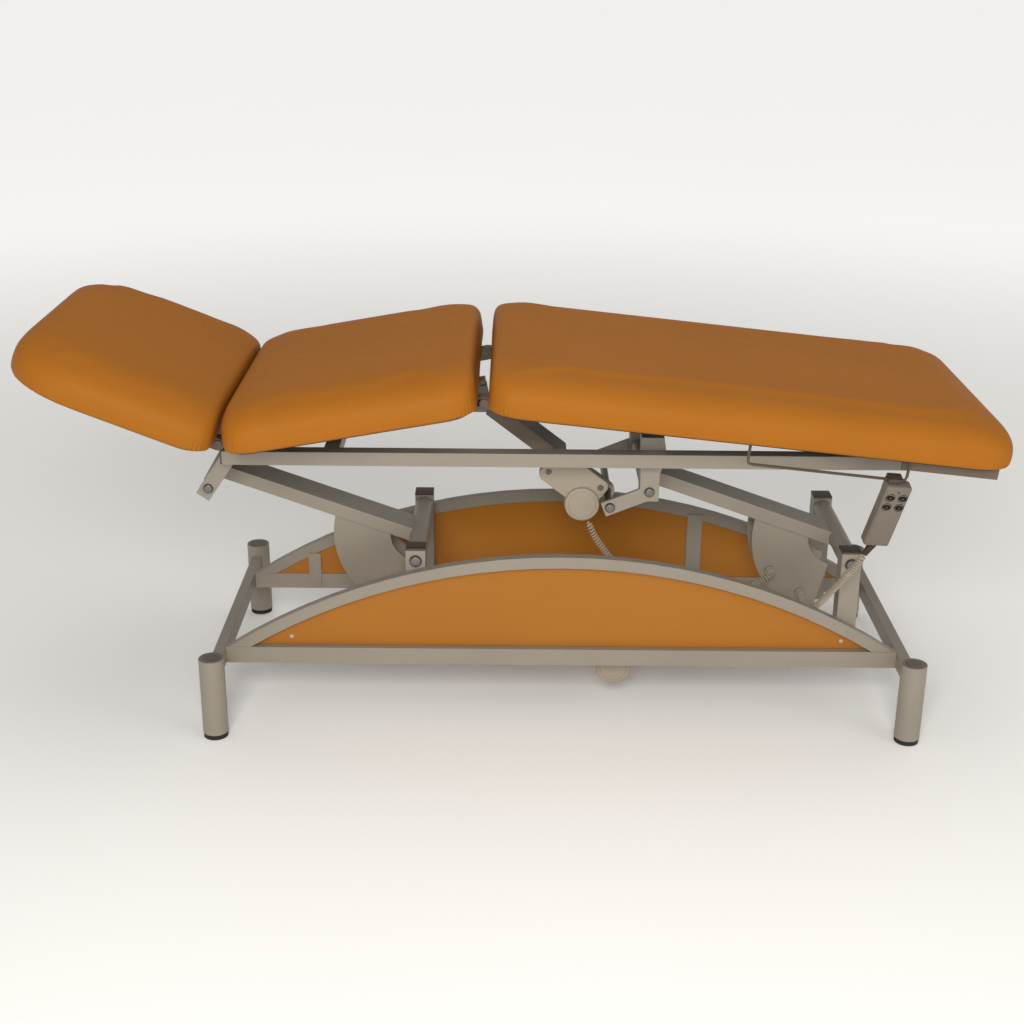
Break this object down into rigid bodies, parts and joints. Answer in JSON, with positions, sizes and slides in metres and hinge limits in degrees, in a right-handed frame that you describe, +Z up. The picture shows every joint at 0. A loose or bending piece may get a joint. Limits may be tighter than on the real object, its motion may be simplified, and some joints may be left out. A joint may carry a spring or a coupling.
{
  "type": "examination couch",
  "caption": "Height-adjustable treatment couch with a head section, a drainage-tilting top, arched base and handset.",
  "frame": {"origin": "on the floor, below the centre of the couch's overall length and width", "axes": "+X towards the foot end, +Y away from the side that carries the handset, +Z up"},
  "size_m": [1.8771, 0.66, 0.8031],
  "materials": {
    "frame_paint": "warm grey powder coat, satin",
    "panel_laminate": "ochre laminated board, satin",
    "black_rubber": "matt black rubber",
    "zinc_steel": "bright zinc-plated steel",
    "dark_paint": "dark brown-grey paint, satin",
    "upholstery": "ochre vinyl leathercloth, satin",
    "motor_plastic": "warm grey moulded plastic",
    "dark_plastic": "black moulded plastic",
    "handset_plastic": "grey-brown moulded plastic",
    "button_plastic": "near-black gloss plastic",
    "cord_sheath": "pale grey-beige curly cord sheath"
  },
  "bodies": {
    "base": {"leg_front_left": "frame_paint", "leg_front_right": "frame_paint", "leg_rear_left": "frame_paint", "leg_rear_right": "frame_paint", "end_rail_left": "frame_paint", "end_rail_right": "frame_paint", "side_rail_front": "frame_paint", "side_rail_rear": "frame_paint", "arch_front": "frame_paint", "arch_rear": "frame_paint", "side_panel_front": "panel_laminate", "side_panel_rear": "panel_laminate", "foot_front_left": "black_rubber", "foot_front_right": "black_rubber", "foot_rear_left": "black_rubber", "foot_rear_right": "black_rubber", "lift_actuator_bracket": "frame_paint", "lower_axle_left": "zinc_steel", "lower_axle_right": "zinc_steel"},
    "right_arm": {"lift_arm_right": "frame_paint", "arm_guard_right_front": "frame_paint", "arm_guard_right_rear": "frame_paint", "control_box": "dark_plastic"},
    "left_arm": {"lift_arm_left": "frame_paint", "arm_guard_left_front": "frame_paint", "arm_guard_left_rear": "frame_paint"},
    "upper_frame": {"top_rail_front": "frame_paint", "top_rail_rear": "frame_paint", "top_cross_tube_left": "frame_paint", "top_cross_tube_right": "frame_paint", "pivot_lug_left_front": "frame_paint", "pivot_lug_left_rear": "frame_paint", "pivot_lug_right_front": "frame_paint", "pivot_lug_right_rear": "frame_paint", "hinge_plate_front": "dark_paint", "hinge_plate_rear": "dark_paint", "drainage_actuator_pin": "zinc_steel", "upper_axle_left": "zinc_steel", "upper_axle_right": "zinc_steel", "motor_cord": "cord_sheath", "handset_cord": "cord_sheath"},
    "lift_actuator": {"lift_actuator": "motor_plastic"},
    "lift_rod": {"lift_actuator_rod": "zinc_steel"},
    "drainage_actuator": {"drainage_actuator": "motor_plastic"},
    "drainage_rod": {"drainage_actuator_rod": "dark_paint"},
    "gas_cylinder": {"gas_spring_cylinder": "dark_paint"},
    "gas_rod": {"gas_spring_rod": "zinc_steel"},
    "middle_section": {"middle_section_frame": "dark_paint", "middle_cushion": "upholstery"},
    "long_section": {"long_section_frame": "dark_paint", "long_cushion": "upholstery", "handset_rail": "dark_paint", "handset": "handset_plastic", "handset_strain_relief": "black_rubber"},
    "head_section": {"head_section_frame": "dark_paint", "head_cushion": "upholstery"},
    "button_1": {"handset_button_1": "button_plastic"},
    "button_2": {"handset_button_2": "button_plastic"},
    "button_3": {"handset_button_3": "button_plastic"},
    "button_4": {"handset_button_4": "button_plastic"}
  },
  "joints": [
    {"name": "lift", "type": "hinge", "parent": "base", "child": "right_arm", "pos_m": [0.686, 0, 0.336], "axis": [0, 1, 0], "range_deg": [-22, 40], "deforming": ["motor_cord", "handset_cord"]},
    {"name": "left_lift", "type": "hinge", "parent": "base", "child": "left_arm", "pos_m": [-0.199, 0, 0.336], "axis": [0, 1, 0], "range_deg": [-22.1, 40.1], "deforming": ["motor_cord", "handset_cord"]},
    {"name": "frame_level", "type": "hinge", "parent": "right_arm", "child": "upper_frame", "pos_m": [0.27124, 0, 0.48288], "axis": [0, 1, 0], "range_deg": [-40.1, 22.1], "deforming": ["motor_cord", "handset_cord"]},
    {"name": "lift_actuator_pitch", "type": "hinge", "parent": "base", "child": "lift_actuator", "pos_m": [0.265, 0, 0.118], "axis": [0, 1, 0], "range_deg": [-1.2, 2.1]},
    {"name": "lift_rod_slide", "type": "slide", "parent": "lift_actuator", "child": "lift_rod", "axis": [-0.9814, 0, 0.1919], "range_m": [-0.046, 0.083]},
    {"name": "middle_tilt", "type": "hinge", "parent": "upper_frame", "child": "middle_section", "pos_m": [-0.555, 0, 0.587], "axis": [0, -1, 0], "range_deg": [-10.2, 4.5]},
    {"name": "long_tilt", "type": "hinge", "parent": "upper_frame", "child": "long_section", "pos_m": [0.792, 0, 0.76], "axis": [0, -1, 0], "range_deg": [-2.7, 6], "deforming": ["motor_cord", "handset_cord"]},
    {"name": "drainage_actuator_pitch", "type": "hinge", "parent": "upper_frame", "child": "drainage_actuator", "pos_m": [0.193, 0, 0.449], "axis": [0, 1, 0], "range_deg": [-12.6, 5.6], "deforming": ["motor_cord", "handset_cord"]},
    {"name": "drainage_rod_slide", "type": "slide", "parent": "drainage_actuator", "child": "drainage_rod", "axis": [-0.7917, 0, 0.6109], "range_m": [-0.053, 0.0236]},
    {"name": "head_tilt", "type": "hinge", "parent": "upper_frame", "child": "head_section", "pos_m": [-0.582, 0, 0.587], "axis": [0, 1, 0], "range_deg": [-50, 2]},
    {"name": "gas_spring_pitch", "type": "hinge", "parent": "upper_frame", "child": "gas_cylinder", "pos_m": [-0.4, 0, 0.556], "axis": [0, 1, 0], "range_deg": [-1.12, 0.05]},
    {"name": "gas_rod_slide", "type": "slide", "parent": "gas_cylinder", "child": "gas_rod", "axis": [-0.9957, 0, -0.0928], "range_m": [-0.0443, 0.002]},
    {"name": "button_1_press", "type": "slide", "parent": "long_section", "child": "button_1", "axis": [-0.0982, 0.9345, 0.342], "range_m": [0, 0.0016], "stiffness_N_per_m": 500, "springref_m": -0.001},
    {"name": "button_2_press", "type": "slide", "parent": "long_section", "child": "button_2", "axis": [-0.0982, 0.9345, 0.342], "range_m": [0, 0.0016], "stiffness_N_per_m": 500, "springref_m": -0.001},
    {"name": "button_3_press", "type": "slide", "parent": "long_section", "child": "button_3", "axis": [-0.0982, 0.9345, 0.342], "range_m": [0, 0.0016], "stiffness_N_per_m": 500, "springref_m": -0.001},
    {"name": "button_4_press", "type": "slide", "parent": "long_section", "child": "button_4", "axis": [-0.0982, 0.9345, 0.342], "range_m": [0, 0.0016], "stiffness_N_per_m": 500, "springref_m": -0.001}
  ],
  "couplings": [
    {"joint": "left_lift", "follows": "lift", "ratio": 1},
    {"joint": "frame_level", "follows": "lift", "ratio": -1},
    {"joint": "lift_actuator_pitch", "follows": "lift", "ratio": 0.05},
    {"joint": "lift_rod_slide", "follows": "lift", "m_per_rad": 0.117},
    {"joint": "long_tilt", "follows": "middle_tilt", "ratio": -0.585},
    {"joint": "drainage_actuator_pitch", "follows": "middle_tilt", "ratio": 1.22},
    {"joint": "drainage_rod_slide", "follows": "middle_tilt", "m_per_rad": 0.295},
    {"joint": "gas_spring_pitch", "follows": "head_tilt", "ratio": 0.022},
    {"joint": "gas_rod_slide", "follows": "head_tilt", "m_per_rad": 0.0506}
  ]
}
